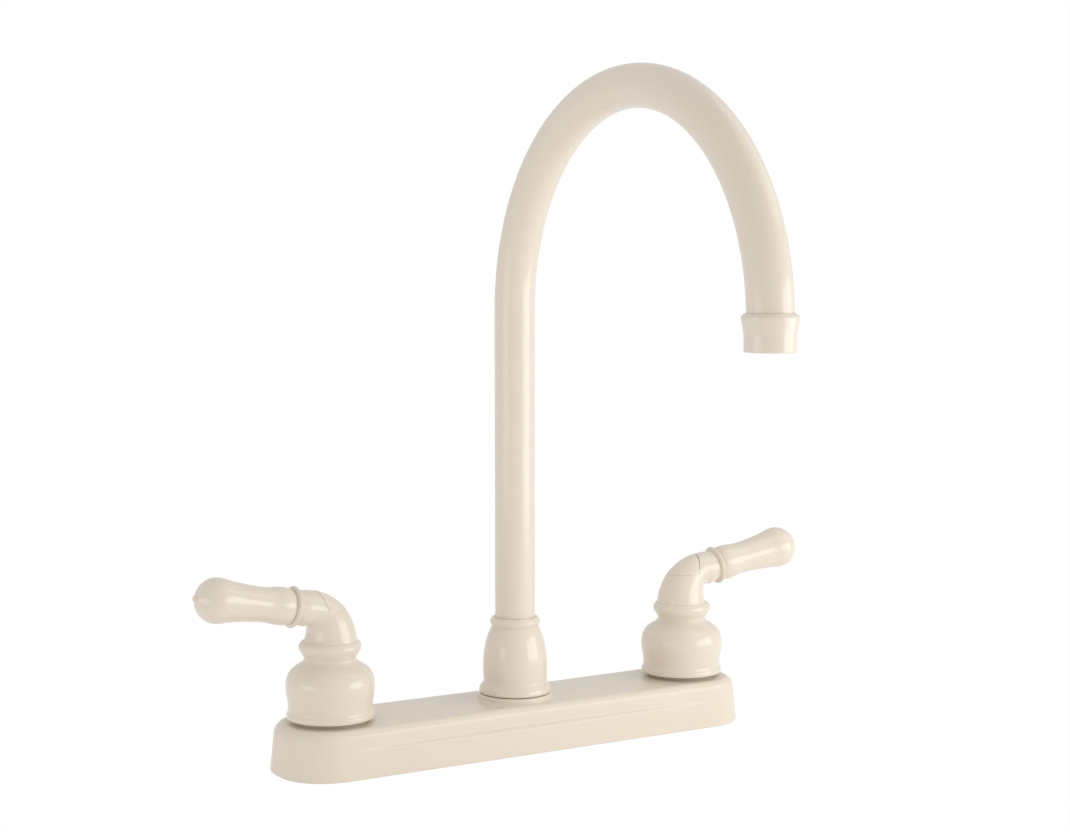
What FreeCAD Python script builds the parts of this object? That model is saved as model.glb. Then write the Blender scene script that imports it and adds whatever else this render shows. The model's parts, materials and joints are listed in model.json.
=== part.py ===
import FreeCAD
import Part
import math
import os

os.makedirs("parts", exist_ok=True)
V = FreeCAD.Vector
UP = V(0, 0, 1)
CENTRE = V(0, 0, 0)

# Frame: X along the deck plate, -Y to the front, Z up, origin on the deck under the spout

# Fits
running = 0.06
slip = 0.1
gap = 0.35

# Deck plate
spread = 203.2
plate_overhang = 27.7
plate_depth = 54.0
plate_end_flat = 6.0
plate_height = 23.0
plate_draft = 2.2
plate_edge = 5.0
plate_wall = 2.6
boss_radius = 18.6
boss_height = 2.4
boss_edge = 1.4
relief_depth = 0.8
relief_height = 13.3
relief_length = 198.0
gasket_thickness = 2.0

# Valve bodies, cartridges and inlet shanks
valve_radius = 13.5
valve_neck_radius = 12.0
valve_neck_height = 8.0
valve_chamber_radius = 8.6
chamber_depth = 5.0
shank_radius = 10.4
shank_length = 60.0
shank_bore = 5.5
thread_end_length = 12.6
thread_relief = 1.2
shank_chamfer = 1.0
cross_height = 9.2
cross_radius = 4.76
cross_wall = 0.86
cross_engagement = 8.0
port_radius = 3.6
port_margin = 1.2
port_boss_radius = 6.8
port_boss_reach = 20.0
seal_thickness = 2.0
disc_thickness = 3.0
moving_disc_thickness = 2.5
disc_port_radius = 2.0
key_width = 2.4
key_depth = 1.0
shell_wall = 1.0
shell_flange = 2.0
shell_collar_radius = 6.3
shell_collar_height = 3.0
stem_radius = 4.4
stem_collar = 2.0
stem_ring_radius = 0.42
bonnet_radius = 15.5
bonnet_lip = 2.0

# Handle hub, profile heights above the foot
hub_gap = 2.0
hub_wall = 2.4
hub_foot_radius = 20.8
hub_waist_radius = 20.05
hub_belly_radius = 21.1
hub_shoulder_radius = 19.1
hub_throat_radius = 14.0
hub_neck_radius = 12.4
hub_bead_radius = 14.85
hub_crown_radius = 13.0
hub_band_height = 2.2
hub_waist_height = 4.8
hub_belly_height = 14.8
hub_shoulder_height = 22.2
hub_throat_height = 26.05
hub_neck_height = 28.2
hub_bead_height = 33.5
hub_bead_top = 36.7
spline_teeth = 16
spline_radius = 4.0
spline_depth = 0.5
spline_length = 11.0
socket_radius = 7.6
screw_radius = 1.98
screw_head_radius = 4.0
screw_head_height = 3.5
screw_engagement = 13.0
cap_radius = 5.6
cap_gap = 0.15

# Elbow and lever, distances along the lever axis from the hub axis
lever_tilt = 10.2
lever_rest = 4.2
corner_height = 50.9
elbow_bend = 18.0
elbow_base_radius = 12.2
elbow_end_radius = 8.1
elbow_taper = 1.4
ring_distance = 20.5
ring_width = 2.2
ring_radius = 9.8
grip_start_radius = 8.2
grip_middle_radius = 8.6
grip_bulb_radius = 10.6
grip_nub_radius = 1.7
grip_bulb_distance = 60.0
grip_tip_distance = 71.7
stud_radius = 2.9
stud_engagement = 9.0

# Spout
tube_radius = 9.9
tube_wall = 1.2
bend_radius = 101.6
riser_top = 216.4
outlet_drop = 4.4
hub_radius = 14.5
hub_thread_radius = 12.5
hub_thread_height = 15.3
plug_radius = 7.4
plug_length = 16.0
plug_bore = 5.2
ferrule_flange_radius = 11.2
ferrule_flange = 2.0
ferrule_engagement = 12.0
spout_ring_radius = 0.5
glide_thickness = 1.4
bell_gap = 0.4
bell_foot_radius = 17.9
bell_waist_radius = 15.7
bell_body_radius = 15.95
bell_shoulder_radius = 14.0
bell_neck_radius = 11.45
bell_bead_radius = 12.45
bell_waist_height = 6.1
bell_body_height = 16.2
bell_shoulder_height = 27.3
bell_neck_height = 33.3
bell_bead_height = 35.5
bell_height = 37.7

# Aerator
aerator_wall = 0.8
aerator_flare = 1.2
aerator_body_height = 7.2
aerator_rim_height = 13.2
aerator_socket = 9.2
aerator_edge = 1.1
aerator_lip = 0.8
aerator_opening = 8.8
washer_thickness = 1.4
restrictor_thickness = 1.5
insert_thickness = 3.6
screen_thickness = 1.0
jet_radius = 0.8
mesh_hole = 0.55

# Mounting nuts
clamp_space = 30.0
nut_flange_radius = 22.0
nut_flange = 3.0
nut_radius = 14.0
nut_height = 12.0
wing_radius = 25.0
wing_width = 6.0

# Levels and lengths that follow from the sizes above
half_spread = spread / 2
plate_length = spread + 2 * plate_overhang
plate_corner = (plate_depth - plate_end_flat) / 2
under_plate = plate_height - plate_wall
valve_neck_top = plate_height + valve_neck_height
chamber_floor = gasket_thickness - chamber_depth
disc_floor = chamber_floor + seal_thickness
disc_top = disc_floor + disc_thickness
moving_top = disc_top + moving_disc_thickness
cross_level = gasket_thickness + cross_height
shell_inside = valve_chamber_radius - slip - shell_wall
shell_web = cross_level + port_radius + port_margin
shell_top = valve_neck_top + shell_flange
foot_level = plate_height + hub_gap
socket_floor = foot_level + hub_neck_height
spline_bottom = socket_floor - spline_length
screw_seat = foot_level + hub_bead_top + 1.5
corner_level = foot_level + corner_height
bell_level = plate_height + boss_height + bell_gap
hub_top = under_plate + hub_thread_height
tube_bottom = hub_top + gap + ferrule_flange
outlet_level = riser_top - outlet_drop
shank_end = -shank_length


def rod(radius, bottom, top):
    """Solid cylinder on the Z axis between two levels."""
    return Part.makeCylinder(radius, top - bottom, V(0, 0, bottom))


def pipe(outer, inner, bottom, top):
    """Hollow cylinder on the Z axis between two levels."""
    return rod(outer, bottom, top).cut(rod(inner, bottom, top))


def cross_rod(radius, start, end):
    """Solid cylinder along X at the level of the cross tubes."""
    return Part.makeCylinder(radius, end - start, V(start, 0, cross_level), V(1, 0, 0))


def turned(*runs):
    """Solid turned about Z: each run of (r, z) points is a line for two points, a smooth curve for more."""
    edges = []
    for run in runs:
        points = [V(r, 0, z) for r, z in run]
        if len(points) == 2:
            edges.append(Part.makeLine(points[0], points[1]))
        else:
            curve = Part.BSplineCurve()
            curve.interpolate(points)
            edges.append(curve.toShape())
    return Part.Face(Part.Wire(edges)).revolve(CENTRE, UP, 360)


def ring(major, minor, level):
    """O-ring on the Z axis."""
    return Part.makeTorus(major, minor, V(0, 0, level))


def around(shape, count):
    """Copies of a shape spaced evenly about the Z axis."""
    copies = []
    for i in range(count):
        copy = shape.copy()
        copy.rotate(CENTRE, UP, 360.0 * i / count)
        copies.append(copy)
    return copies


def outline(inset, level):
    """Rounded rectangle of the deck plate, drawn in by inset."""
    radius = plate_corner - inset
    x = plate_length / 2 - inset - radius
    y = plate_depth / 2 - inset - radius
    corners = ((x, -y, 270), (x, y, 0), (-x, y, 90), (-x, -y, 180))
    arcs = [Part.makeCircle(radius, V(cx, cy, level), UP, a, a + 90) for cx, cy, a in corners]
    edges = []
    for arc, following in zip(arcs, arcs[1:] + arcs[:1]):
        start = arc.valueAt(arc.LastParameter)
        edges.append(arc)
        if start.distanceToPoint(following.valueAt(following.FirstParameter)) > 0.001:
            edges.append(Part.makeLine(start, following.valueAt(following.FirstParameter)))
    return Part.Wire(edges)


def plate_inset(level):
    """How far the drafted side of the deck plate has drawn in at a level."""
    return plate_draft * level / plate_height


def relief(side):
    """Tool that sets the upper band of the front or back face in by a shallow curve."""
    face = plate_depth / 2 - plate_inset(relief_height)
    half = relief_length / 2
    reach = 1.15
    middle = V(0, side * (face - relief_depth), relief_height)
    rise = relief_depth * (reach ** 2 - 1)
    left = V(-half * reach, side * (face + rise), relief_height)
    right = V(half * reach, side * (face + rise), relief_height)
    outside = side * plate_depth
    corners = [right, V(right.x, outside, relief_height), V(left.x, outside, relief_height), left]
    edges = [Part.Arc(left, middle, right).toShape()]
    edges += [Part.makeLine(a, b) for a, b in zip(corners, corners[1:])]
    return Part.Face(Part.Wire(edges)).extrude(V(0, 0, plate_height))


def deck_plate():
    """Hollow cover plate with a raised boss under the spout."""
    plate = Part.makeLoft([outline(0, 0), outline(plate_draft, plate_height)], True, True)
    rim = [e for e in plate.Edges if e.BoundBox.ZMin > plate_height - 0.01]
    plate = plate.makeFillet(plate_edge, rim)
    for side in (-1, 1):
        plate = plate.cut(relief(side))
    top = plate_height + boss_height
    boss = turned(
        [(0, under_plate), (boss_radius, under_plate)],
        [(boss_radius, under_plate), (boss_radius, top - boss_edge)],
        [
            (boss_radius, top - boss_edge),
            (boss_radius - boss_edge * (1 - math.sqrt(0.5)), top - boss_edge * (1 - math.sqrt(0.5))),
            (boss_radius - boss_edge, top),
        ],
        [(boss_radius - boss_edge, top), (0, top)],
        [(0, top), (0, under_plate)],
    )
    cavity = Part.makeLoft(
        [outline(plate_wall, 0), outline(plate_wall + plate_inset(under_plate), under_plate)], True, True
    )
    plate = plate.cut(cavity).fuse(boss)
    plate = plate.cut(rod(hub_thread_radius + gap, 0, top + 1))
    for x in (-half_spread, half_spread):
        hole = rod(valve_neck_radius + gap, 0, plate_height + 1)
        plate = plate.cut(hole.translated(V(x, 0, 0)))
    return plate.removeSplitter()


def deck_gasket():
    """Foam pad inside the rim of the plate, with holes for the two shanks."""
    pad = Part.Face(outline(plate_wall + gap, 0)).extrude(V(0, 0, gasket_thickness))
    for x in (-half_spread, half_spread):
        pad = pad.cut(rod(shank_radius + gap, -1, gasket_thickness + 1).translated(V(x, 0, 0)))
    return pad


def valve_body():
    """Casting with the cartridge chamber, the cross port towards +X and the inlet shank."""
    relief_top = shank_end + thread_end_length + shank_chamfer + thread_relief
    body = rod(valve_radius, gasket_thickness, under_plate)
    body = body.fuse(rod(valve_neck_radius, under_plate, valve_neck_top))
    body = body.fuse(rod(shank_radius, shank_end, gasket_thickness))
    body = body.fuse(cross_rod(port_boss_radius, 0, port_boss_reach))
    body = body.cut(rod(valve_chamber_radius, chamber_floor, valve_neck_top))
    body = body.cut(rod(shank_bore, shank_end, chamber_floor))
    body = body.cut(cross_rod(port_radius, 0, port_boss_reach))
    body = body.cut(
        cross_rod(cross_radius + slip, port_boss_reach - cross_engagement, port_boss_reach)
    )
    groove = pipe(shank_radius + 1, shank_radius - 0.9, relief_top - thread_relief, relief_top)
    body = body.cut(groove)
    chamfer = rod(shank_radius + 1, shank_end, shank_end + shank_chamfer)
    taper = Part.makeCone(shank_radius - shank_chamfer, shank_radius, shank_chamfer, V(0, 0, shank_end))
    return body.cut(chamfer.cut(taper))


def mounting_nut():
    """Flanged wing nut on the shank under the counter."""
    top = -clamp_space
    nut = rod(nut_flange_radius, top - nut_flange, top).fuse(rod(nut_radius, top - nut_height, top))
    wing = Part.makeBox(
        2 * wing_radius, wing_width, nut_height + 2, V(-wing_radius, -wing_width / 2, top - nut_height - 2)
    )
    tips = [e for e in wing.Edges if abs(e.Vertexes[0].Z - e.Vertexes[-1].Z) > nut_height]
    nut = nut.fuse(wing.makeFillet(wing_width * 0.45, tips))
    return nut.cut(rod(shank_radius + slip, top - nut_height - 3, top + 1)).removeSplitter()


def seat_seal():
    """Rubber seat under the fixed disc."""
    return pipe(valve_chamber_radius - slip, shank_bore, chamber_floor, disc_floor)


def disc_ports(bottom, top):
    """Two round ports on opposite sides of the axis."""
    offset = shank_bore - disc_port_radius - 0.2
    return around(rod(disc_port_radius, bottom, top).translated(V(0, offset, 0)), 2)


def fixed_disc():
    """Lower ceramic disc."""
    disc = rod(valve_chamber_radius - slip, disc_floor, disc_top)
    for port in disc_ports(disc_floor, disc_top):
        disc = disc.cut(port)
    return disc


def key(width, length, top, depth):
    """Straight driving key across the axis."""
    return Part.makeBox(length, width, depth, V(-length / 2, -width / 2, top - depth))


def moving_disc():
    """Upper ceramic disc with a driving slot; its ports stand a quarter turn from those below."""
    disc = rod(shell_inside - gap, disc_top, moving_top)
    for port in disc_ports(disc_top, moving_top):
        port.rotate(CENTRE, UP, 90)
        disc = disc.cut(port)
    return disc.cut(key(key_width, 4 * shell_inside, moving_top, key_depth))


def stem():
    """Stem with the driving key, a thrust collar, a ring groove, a splined top and a tapped hole."""
    flange = shell_inside - gap
    body = rod(flange, moving_top + slip, moving_top + slip + stem_collar)
    body = body.fuse(rod(stem_radius, moving_top + slip, spline_bottom - gap))
    body = body.fuse(rod(flange, shell_web - slip - stem_collar, shell_web - slip))
    drive = key(key_width - 2 * slip, 2 * flange, moving_top + stem_collar, stem_collar + key_depth - slip)
    body = body.fuse(drive.common(rod(flange, disc_top, shell_web)))
    body = body.fuse(spline(0, spline_bottom - gap, socket_floor - gap))
    level = stem_ring_level()
    half = stem_ring_radius + slip
    body = body.cut(pipe(stem_radius + 1, stem_radius - 2 * half, level - half, level + half))
    return body.cut(rod(screw_radius + running, socket_floor - screw_engagement - 2, socket_floor))


def stem_ring_level():
    """Level of the ring groove, half way up the bore of the cartridge shell."""
    return (shell_web + shell_top) / 2


def stem_ring():
    """O-ring in the groove of the stem."""
    return ring(stem_radius - stem_ring_radius, stem_ring_radius, stem_ring_level())


def spline(clearance, bottom, top):
    """Toothed prism on the Z axis."""
    points = []
    for i in range(2 * spline_teeth):
        radius = spline_radius + clearance - spline_depth * (i % 2)
        angle = math.pi * i / spline_teeth
        points.append(V(radius * math.cos(angle), radius * math.sin(angle), bottom))
    return Part.Face(Part.makePolygon(points + points[:1])).extrude(V(0, 0, top - bottom))


def cartridge_shell():
    """Shell that guides the stem, with side windows to the cross port."""
    shell = rod(valve_chamber_radius - slip, disc_top, valve_neck_top)
    shell = shell.fuse(rod(valve_neck_radius - 1, valve_neck_top, shell_top))
    shell = shell.fuse(rod(shell_collar_radius, shell_top, shell_top + shell_collar_height))
    shell = shell.cut(rod(shell_inside, disc_top, shell_web))
    shell = shell.cut(rod(stem_radius + running, shell_web, shell_top + shell_collar_height))
    return shell.cut(cross_rod(port_radius, -valve_radius, valve_radius))


def bonnet_nut():
    """Hexagon nut that holds the cartridge down and clamps the plate to the body."""
    top = shell_top + bonnet_lip
    corner = bonnet_radius / math.cos(math.radians(30))
    points = [
        V(corner * math.cos(math.radians(60 * i)), corner * math.sin(math.radians(60 * i)), plate_height)
        for i in range(7)
    ]
    nut = Part.Face(Part.makePolygon(points)).extrude(V(0, 0, top - plate_height))
    nut = nut.common(rod((bonnet_radius + corner) / 2, plate_height, top))
    nut = nut.cut(rod(valve_neck_radius + slip, plate_height, shell_top))
    return nut.cut(rod(shell_collar_radius + slip, shell_top, top))


def cross_tube():
    """Tube from the left valve body to the spout hub."""
    start = -half_spread + port_boss_reach - cross_engagement + slip
    end = -port_boss_reach + cross_engagement - slip
    return cross_rod(cross_radius, start, end).cut(cross_rod(cross_radius - cross_wall, start, end))


def elbow_point(turn):
    """Placement on the elbow's centreline after a turn in degrees towards -X."""
    lead = elbow_bend * math.tan(math.radians(90 - lever_tilt) / 2)
    angle = math.radians(turn)
    x = elbow_bend * (math.cos(angle) - 1)
    z = corner_level - lead + elbow_bend * math.sin(angle)
    return FreeCAD.Placement(V(x, 0, z), FreeCAD.Rotation(V(0, 1, 0), -turn))


def elbow():
    """Tapered bend that rises out of the bead of the hub and ends at the lever ring."""
    full = 90 - lever_tilt
    steps = 5
    bend = [elbow_point(full * i / steps) for i in range(steps + 1)]
    start = bend[0].Base.z - elbow_bend / steps
    places = [FreeCAD.Placement(V(0, 0, start), FreeCAD.Rotation())] + bend
    places.append(lever_frame().multiply(
        FreeCAD.Placement(V(0, 0, ring_distance - ring_width / 2), FreeCAD.Rotation())
    ))
    lengths = [0.0]
    for a, b in zip(places, places[1:]):
        lengths.append(lengths[-1] + a.Base.distanceToPoint(b.Base))
    sections = []
    for place, length in zip(places, lengths):
        share = (length / lengths[-1]) ** elbow_taper
        radius = elbow_base_radius + (elbow_end_radius - elbow_base_radius) * share
        circle = Part.Wire([Part.makeCircle(radius)])
        circle.Placement = place
        sections.append(circle)
    return Part.makeLoft(sections, True, False)


def lever_frame():
    """Placement that lays Z along the lever axis, its origin on the hub axis."""
    return FreeCAD.Placement(V(0, 0, corner_level), FreeCAD.Rotation(V(0, 1, 0), lever_tilt - 90))


def on_lever(shape):
    """Shape drawn along Z, laid along the lever axis."""
    moved = shape.copy()
    moved.Placement = lever_frame().multiply(shape.Placement)
    return moved


def hub_blank():
    """Outside of the handle hub with its elbow, solid."""
    foot = foot_level
    edge = 0.7
    crown = foot + hub_bead_top
    swell = hub_bead_radius - hub_neck_radius
    climb = hub_bead_height - hub_neck_height
    outside = turned(
        [(0, foot), (hub_foot_radius - edge, foot)],
        [(hub_foot_radius - edge, foot), (hub_foot_radius - edge * 0.2, foot + edge * 0.3),
         (hub_foot_radius, foot + edge)],
        [(hub_foot_radius, foot + edge), (hub_foot_radius, foot + hub_band_height)],
        [
            (hub_foot_radius, foot + hub_band_height),
            (hub_waist_radius, foot + hub_waist_height),
            (hub_belly_radius, foot + hub_belly_height),
            (hub_shoulder_radius, foot + hub_shoulder_height),
            (hub_throat_radius, foot + hub_throat_height),
            (hub_neck_radius, foot + hub_neck_height),
            (hub_neck_radius + swell * 0.37, foot + hub_neck_height + climb * 0.44),
            (hub_bead_radius, foot + hub_bead_height),
            (hub_crown_radius, crown),
        ],
        [
            (hub_crown_radius, crown),
            ((hub_crown_radius + elbow_base_radius) / 2, crown + edge),
            (elbow_base_radius - edge, crown + 4 * edge),
        ],
        [(elbow_base_radius - edge, crown + 4 * edge), (0, crown + 4 * edge)],
        [(0, crown + 4 * edge), (0, foot)],
    )
    return outside.fuse(elbow())


def hub_cavity():
    """Open inside of the hub, round the splined socket."""
    roof = foot_level + hub_shoulder_height - hub_wall
    radius = min(hub_foot_radius, hub_waist_radius, hub_belly_radius) - hub_wall
    low = foot_level + hub_belly_height
    cavity = turned(
        [(0, foot_level), (radius, foot_level)],
        [(radius, foot_level), (radius, low)],
        [(radius, low), (radius * 0.93, (low + roof) / 2), (socket_radius + 4, roof)],
        [(socket_radius + 4, roof), (0, roof)],
        [(0, roof), (0, foot_level)],
    )
    return cavity.cut(rod(socket_radius, spline_bottom, roof + 1))


def handle_hub():
    """Handle hub: hollow cup, splined socket, screw hole, cap seat and stud hole."""
    hub = hub_blank().cut(hub_cavity())
    hub = hub.cut(spline(running, spline_bottom, socket_floor))
    hub = hub.cut(rod(screw_radius + 2 * slip, socket_floor, screw_seat))
    hub = hub.cut(rod(screw_head_radius + gap, screw_seat, corner_level))
    hub = hub.cut(rod(cap_radius + cap_gap, corner_level, corner_level + 4 * elbow_bend))
    return hub.cut(on_lever(rod(stud_radius + slip, stud_bottom() - slip, ring_distance)))


def stud_bottom():
    """Inner end of the lever stud."""
    return ring_distance - ring_width / 2 - stud_engagement


def index_cap():
    """Round cap over the handle screw, flush with the elbow."""
    return elbow().common(rod(cap_radius, corner_level, corner_level + 4 * elbow_bend))


def handle_screw():
    """Screw that holds the hub on the stem, with a hexagon recess."""
    screw = rod(screw_radius, socket_floor - screw_engagement, screw_seat)
    screw = screw.fuse(rod(screw_head_radius, screw_seat, screw_seat + screw_head_height))
    points = [
        V(screw_radius * math.cos(math.radians(60 * i)), screw_radius * math.sin(math.radians(60 * i)),
          screw_seat + screw_head_height / 2)
        for i in range(7)
    ]
    return screw.cut(Part.Face(Part.makePolygon(points)).extrude(V(0, 0, screw_head_height)))


def lever_stud():
    """Stud that joins elbow, ring and grip."""
    top = ring_distance + ring_width / 2 + stud_engagement
    return on_lever(rod(stud_radius, stud_bottom(), top))


def lever_ring():
    """Round-edged collar between elbow and grip."""
    low = ring_distance - ring_width / 2
    high = ring_distance + ring_width / 2
    flat = ring_radius - ring_width / 2
    collar = turned(
        [(stud_radius + slip, low), (flat, low)],
        [(flat, low), (ring_radius, ring_distance), (flat, high)],
        [(flat, high), (stud_radius + slip, high)],
        [(stud_radius + slip, high), (stud_radius + slip, low)],
    )
    return on_lever(collar)


def lever_grip():
    """Turned lever with a bulb end and a small nub at the tip."""
    low = ring_distance + ring_width / 2
    length = grip_bulb_distance - low
    dome = grip_tip_distance - grip_bulb_distance
    neck = grip_tip_distance - dome * 0.13
    grip = turned(
        [(0, low), (grip_start_radius - 0.4, low)],
        [
            (grip_start_radius - 0.4, low),
            (grip_start_radius, low + 0.8),
            (grip_start_radius + 0.1, low + length * 0.3),
            (grip_middle_radius, low + length * 0.6),
            (grip_bulb_radius * 0.93, low + length * 0.86),
            (grip_bulb_radius, grip_bulb_distance),
            (grip_bulb_radius * 0.8, grip_bulb_distance + dome * 0.5),
            (grip_bulb_radius * 0.35, grip_bulb_distance + dome * 0.8),
            (grip_nub_radius, neck),
        ],
        [
            (grip_nub_radius, neck),
            (grip_nub_radius * 0.8, neck + dome * 0.08),
            (0, grip_tip_distance),
        ],
        [(0, grip_tip_distance), (0, low)],
    )
    return on_lever(grip.cut(rod(stud_radius + slip, low, low + stud_engagement + slip)))


def spout_hub():
    """Centre casting that joins the cross tubes and carries the spout."""
    body = rod(hub_radius, gasket_thickness, under_plate)
    body = body.fuse(rod(hub_thread_radius, under_plate, hub_top))
    body = body.fuse(cross_rod(port_boss_radius, -port_boss_reach, port_boss_reach))
    socket_bottom = hub_top + gap - plug_length
    body = body.cut(rod(plug_radius + running, socket_bottom - 1, hub_top))
    body = body.cut(rod(plug_radius - 0.9, cross_level - port_radius - port_margin, hub_top))
    body = body.cut(cross_rod(port_radius, -port_boss_reach, port_boss_reach))
    inner = port_boss_reach - cross_engagement
    body = body.cut(cross_rod(cross_radius + slip, inner, port_boss_reach))
    return body.cut(cross_rod(cross_radius + slip, -port_boss_reach, -inner))


def spout_path(radius):
    """Solid gooseneck of one radius: riser, half-circle bend and short drop."""
    riser = rod(radius, tube_bottom, riser_top)
    disc = Part.Face(Part.Wire([Part.makeCircle(radius, V(0, 0, riser_top), UP)]))
    bend = disc.revolve(V(0, -bend_radius, riser_top), V(1, 0, 0), 180)
    drop = rod(radius, outlet_level, riser_top).translated(V(0, -2 * bend_radius, 0))
    return riser.fuse(bend).fuse(drop)


def spout_tube():
    """Bent tube of the spout."""
    return spout_path(tube_radius).cut(spout_path(tube_radius - tube_wall)).removeSplitter()


def spout_ring_levels():
    """Levels of the two ring grooves on the ferrule's plug."""
    bottom = hub_top + gap - plug_length
    return [bottom + plug_length * share for share in (0.25, 0.6)]


def spout_ferrule():
    """Sleeve in the foot of the tube, with a flange and a grooved plug that turns in the hub."""
    flange = hub_top + gap
    ferrule = rod(plug_radius, flange - plug_length, flange)
    ferrule = ferrule.fuse(rod(ferrule_flange_radius, flange, tube_bottom))
    inside = tube_radius - tube_wall - slip
    ferrule = ferrule.fuse(rod(inside, tube_bottom, tube_bottom + ferrule_engagement))
    half = spout_ring_radius + slip
    for level in spout_ring_levels():
        ferrule = ferrule.cut(pipe(plug_radius + 1, plug_radius - 2 * half, level - half, level + half))
    return ferrule.cut(rod(plug_bore, flange - plug_length, tube_bottom + ferrule_engagement))


def spout_rings():
    """The two O-rings of the ferrule."""
    major = plug_radius - slip - spout_ring_radius
    return Part.makeCompound([ring(major, spout_ring_radius, z) for z in spout_ring_levels()])


def glide_ring():
    """Plastic ring between the flange of the ferrule and the shoulder in the bell."""
    bottom = tube_bottom + gap
    return pipe(bell_thread(), tube_radius + gap, bottom, bottom + glide_thickness)


def bell_thread():
    """Inside radius of the bell's lower part, which is screwed on the hub."""
    return hub_thread_radius + slip


def spout_bell():
    """Bell nut that holds the spout down on the hub."""
    foot = bell_level
    top = foot + bell_height
    bell = turned(
        [(0, foot), (bell_foot_radius - 0.4, foot)],
        [
            (bell_foot_radius - 0.4, foot),
            (bell_foot_radius, foot + 0.6),
            (bell_foot_radius, foot + 1.2),
            (bell_foot_radius - 0.5, foot + bell_waist_height * 0.5),
            (bell_waist_radius + 0.4, foot + bell_waist_height * 0.78),
            (bell_waist_radius, foot + bell_waist_height),
        ],
        [
            (bell_waist_radius, foot + bell_waist_height),
            (bell_body_radius, foot + bell_waist_height + 3.3),
            (bell_body_radius, foot + bell_body_height),
            (bell_shoulder_radius, foot + bell_shoulder_height),
            (bell_neck_radius, foot + bell_neck_height),
        ],
        [
            (bell_neck_radius, foot + bell_neck_height),
            (bell_bead_radius, foot + bell_bead_height),
            (bell_neck_radius - 0.35, top),
        ],
        [(bell_neck_radius - 0.35, top), (0, top)],
        [(0, top), (0, foot)],
    )
    shoulder = tube_bottom + gap + glide_thickness
    bell = bell.cut(rod(bell_thread(), foot, shoulder))
    return bell.cut(rod(tube_radius + gap, shoulder, top))


def at_outlet(shape):
    """Shape drawn on the Z axis, moved to the outlet of the spout."""
    return shape.translated(V(0, -2 * bend_radius, 0))


def aerator_bottom():
    """Level of the aerator's lower face."""
    stack = aerator_lip + screen_thickness + insert_thickness + restrictor_thickness + washer_thickness
    return outlet_level - stack


def aerator_housing():
    """Housing on the end of the tube: straight below, flared to a rim, drawn in to the tube above it."""
    low = aerator_bottom()
    body = tube_radius + slip + aerator_wall
    rim = body + aerator_flare
    widest = low + aerator_rim_height
    shoulder = widest + aerator_edge
    high = outlet_level + aerator_socket
    top = tube_radius + gap + aerator_wall / 4
    soft = aerator_edge * 0.3
    housing = turned(
        [(0, low), (body - soft, low)],
        [(body - soft, low), (body, low + soft)],
        [(body, low + soft), (body, low + aerator_body_height)],
        [(body, low + aerator_body_height), (rim, widest)],
        [(rim, widest), (rim, shoulder)],
        [
            (rim, shoulder),
            (rim + (top - rim) * 0.44, shoulder + (high - shoulder) * 0.32),
            (rim + (top - rim) * 0.75, shoulder + (high - shoulder) * 0.57),
            (top, high),
        ],
        [(top, high), (0, high)],
        [(0, high), (0, low)],
    )
    housing = housing.cut(rod(tube_radius + slip, low + aerator_lip, high))
    housing = housing.cut(rod(tube_radius + gap, riser_top, high))
    return at_outlet(housing.cut(rod(aerator_opening, low, low + aerator_lip)))


def aerator_levels():
    """Boundaries of the pieces stacked in the housing, from the lip up."""
    levels = [aerator_bottom() + aerator_lip]
    for thickness in (screen_thickness, insert_thickness, restrictor_thickness):
        levels.append(levels[-1] + thickness)
    return levels


def perforated(radius, bottom, top, hole, rings):
    """Disc with rings of round holes, each ring six holes more than the one inside it."""
    disc = rod(radius, bottom, top)
    pitch = (radius - 2.4) / rings
    holes = []
    for i in range(1, rings + 1):
        holes += around(rod(hole, bottom, top).translated(V(pitch * i, 0, 0)), 6 * i)
    return at_outlet(disc.cut(Part.makeCompound(holes)))


def aerator_screen():
    """Outlet screen that rests on the lip of the housing."""
    levels = aerator_levels()
    return perforated(tube_radius, levels[0], levels[1], mesh_hole, 4)


def aerator_insert():
    """Jet former above the screen."""
    levels = aerator_levels()
    return perforated(tube_radius, levels[1], levels[2], jet_radius, 3)


def flow_restrictor():
    """Restrictor disc above the jet former."""
    levels = aerator_levels()
    return perforated(tube_radius, levels[2], levels[3], jet_radius, 1)


def aerator_washer():
    """Rubber washer against the end of the tube."""
    level = aerator_levels()[3]
    return at_outlet(pipe(tube_radius, tube_radius - 3.2, level, level + washer_thickness))


def export(name, shape):
    """Write one node."""
    shape.exportStep("parts/" + name + ".step")


def export_pair(name, shape):
    """Write the left node and its mirror image on the right."""
    export("left_" + name, shape)
    export("right_" + name, shape.mirror(CENTRE, V(1, 0, 0)))


export("deck_plate", deck_plate())
export("deck_gasket", deck_gasket())
export("spout_hub", spout_hub())
export("spout_bell", spout_bell())
export("glide_ring", glide_ring())
export("spout_tube", spout_tube())
export("spout_ferrule", spout_ferrule())
export("spout_rings", spout_rings())
export("aerator_housing", aerator_housing())
export("aerator_washer", aerator_washer())
export("flow_restrictor", flow_restrictor())
export("aerator_insert", aerator_insert())
export("aerator_screen", aerator_screen())
export_pair("cross_tube", cross_tube())

to_left = V(-half_spread, 0, 0)
for make in (
    valve_body, mounting_nut, seat_seal, fixed_disc, cartridge_shell, bonnet_nut,
):
    export_pair(make.__name__, make().translated(to_left))

for make in (
    stem, moving_disc, stem_ring, handle_hub, index_cap, handle_screw, lever_stud, lever_ring, lever_grip,
):
    piece = make()
    piece.rotate(CENTRE, UP, lever_rest)
    export_pair(make.__name__, piece.translated(to_left))
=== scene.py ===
"""High-arc kitchen faucet in glossy bisque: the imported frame, its fine outer pieces, finishes and studio."""

from __future__ import annotations

import json
import logging
import math
from dataclasses import dataclass
from enum import Enum
from typing import Callable, Optional, Sequence, Tuple

import bmesh
import bpy
import numpy as np
from mathutils import Matrix, Vector


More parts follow.
